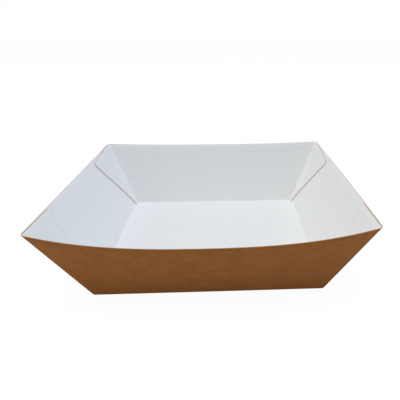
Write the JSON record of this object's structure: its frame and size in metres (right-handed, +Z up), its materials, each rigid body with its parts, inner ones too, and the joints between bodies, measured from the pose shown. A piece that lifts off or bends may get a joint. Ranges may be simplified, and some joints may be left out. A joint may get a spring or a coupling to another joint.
{
  "type": "paper food tray",
  "caption": "Open food tray folded from one sheet of kraft board, white inside, with flared bowed walls and glued corner flaps.",
  "frame": {"origin": "centre of the underside of the tray's floor", "axes": "+X along the long walls, +Y across to the back long wall, +Z up out of the tray's mouth"},
  "size_m": [0.1876, 0.1548, 0.0511],
  "materials": {
    "kraft_board": "matte brown kraft outside, smooth white food side inside, brown cut edges"
  },
  "bodies": {
    "root": {"folded_tray": "kraft_board"}
  },
  "joints": []
}
